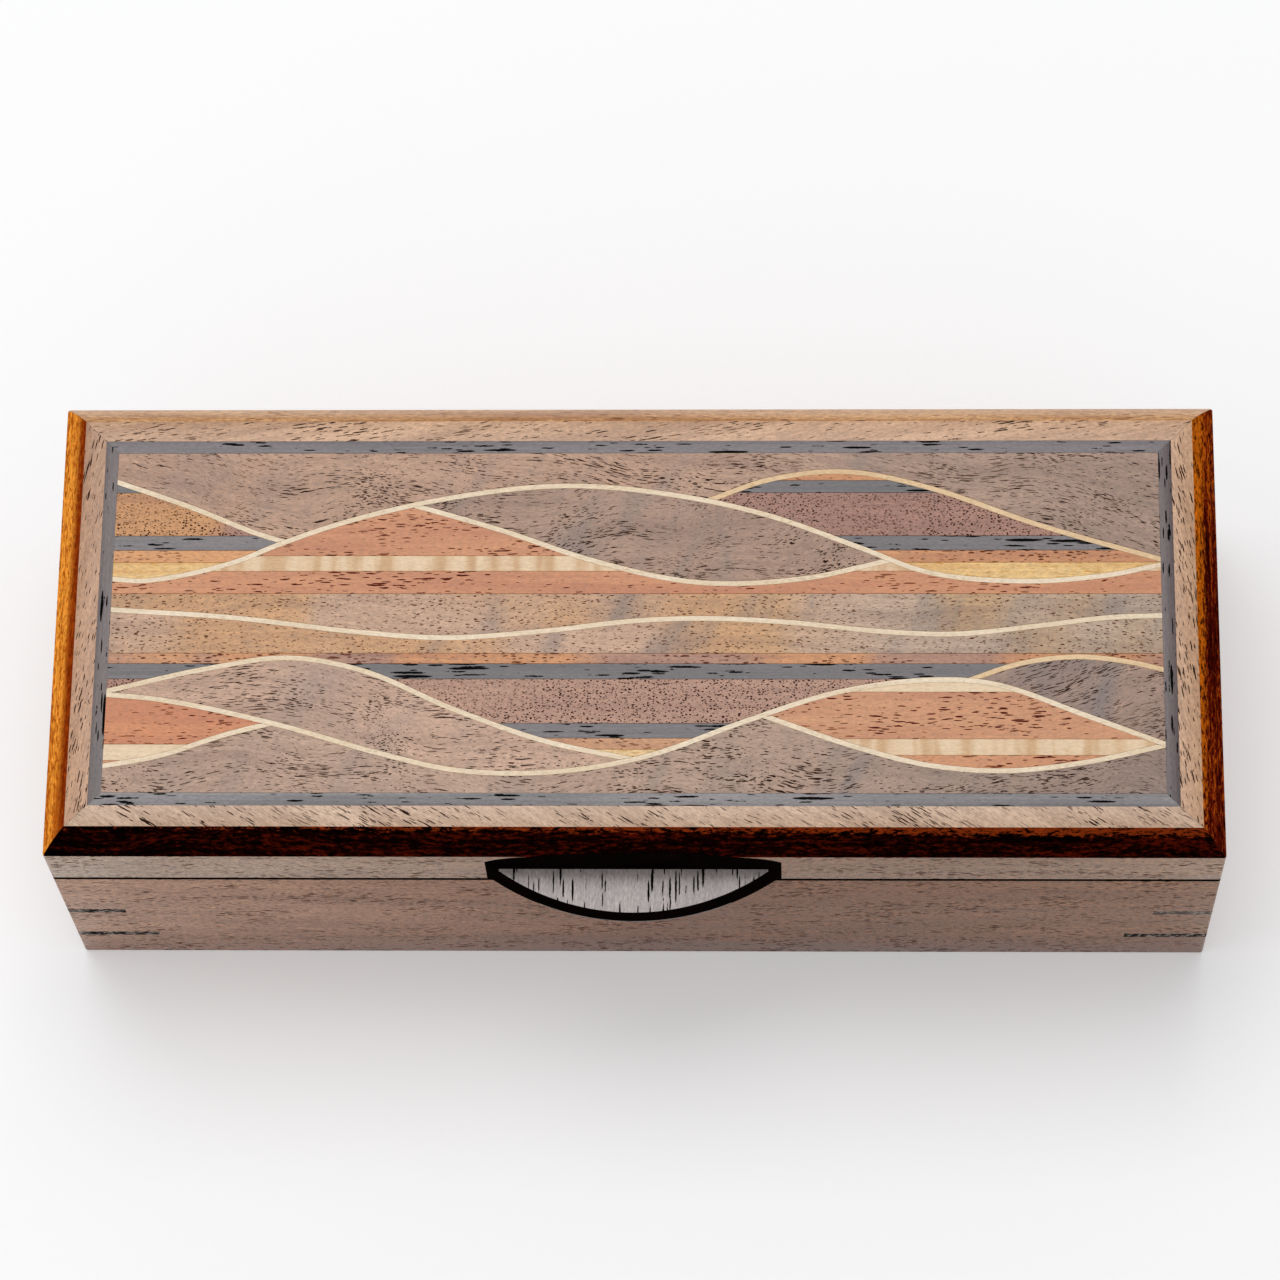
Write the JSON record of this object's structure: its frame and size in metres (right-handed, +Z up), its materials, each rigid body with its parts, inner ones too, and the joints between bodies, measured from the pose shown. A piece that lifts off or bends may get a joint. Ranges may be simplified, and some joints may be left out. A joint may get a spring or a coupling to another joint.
{
  "type": "inlaid wooden box",
  "caption": "Long walnut box with keyed mitred corners and a hinged lid inlaid with laminated wave marquetry, opened by a lift tab at the front.",
  "frame": {"origin": "centre of the bounding box in plan, on the surface the box stands on", "axes": "+X along the box to the right seen from the front, -Y towards the front with the lift tab, +Z up"},
  "size_m": [0.26, 0.122, 0.0752],
  "materials": {
    "walnut": "satin oiled walnut with open pores",
    "figured_walnut": "satin figured walnut, sanded flush",
    "wenge": "satin wenge with long open pores",
    "dark_wenge": "satin near-black wenge with long open pores",
    "maple": "satin pale maple",
    "mahogany": "satin mahogany laminated with curly maple",
    "striped_wood": "satin lamination of wenge, dotted brown wood, orange-brown wood and yellow wood",
    "core_ply": "sanded and oiled birch ply",
    "felt": "short-napped felt",
    "brass": "brushed brass"
  },
  "bodies": {
    "box_body": {"body_back_board": "walnut", "body_front_board": "walnut", "body_left_board": "walnut", "body_right_board": "walnut", "bottom_panel": "core_ply", "corner_key_back_left_lower": "wenge", "corner_key_back_left_upper": "wenge", "corner_key_back_right_lower": "wenge", "corner_key_back_right_upper": "wenge", "corner_key_front_left_lower": "wenge", "corner_key_front_left_upper": "wenge", "corner_key_front_right_lower": "wenge", "corner_key_front_right_upper": "wenge", "hinge_left_body_leaf": "brass", "hinge_left_body_screw_1": "brass", "hinge_left_body_screw_2": "brass", "hinge_left_pin": "brass", "hinge_right_body_leaf": "brass", "hinge_right_body_screw_1": "brass", "hinge_right_body_screw_2": "brass", "hinge_right_pin": "brass", "lining_pad": "felt"},
    "lid": {"border_back": "wenge", "border_front": "wenge", "border_left": "wenge", "border_right": "wenge", "hinge_left_lid_leaf": "brass", "hinge_left_lid_screw_1": "brass", "hinge_left_lid_screw_2": "brass", "hinge_right_lid_leaf": "brass", "hinge_right_lid_screw_1": "brass", "hinge_right_lid_screw_2": "brass", "lid_back_rail": "walnut", "lid_core_panel": "core_ply", "lid_front_rail": "walnut", "lid_left_rail": "walnut", "lid_right_rail": "walnut", "lift_tab": "dark_wenge", "lower_centre_lamination": "striped_wood", "lower_edge_strip": "striped_wood", "lower_left_lamination": "striped_wood", "lower_left_mahogany_lamination": "mahogany", "lower_right_mahogany_lamination": "mahogany", "lower_right_walnut": "figured_walnut", "lower_stringing": "maple", "lower_walnut_field": "figured_walnut", "lower_walnut_lens": "figured_walnut", "middle_stringing": "maple", "middle_walnut_back": "figured_walnut", "middle_walnut_front": "figured_walnut", "upper_left_lamination": "striped_wood", "upper_mahogany_lamination": "mahogany", "upper_right_lamination": "striped_wood", "upper_stringing": "maple", "upper_walnut_field": "figured_walnut", "upper_walnut_lens": "figured_walnut"}
  },
  "joints": [
    {"name": "lid_hinge", "type": "hinge", "parent": "box_body", "child": "lid", "pos_m": [0, 0.0588, 0.0542], "axis": [-1, 0, 0], "range_deg": [0, 95]}
  ]
}
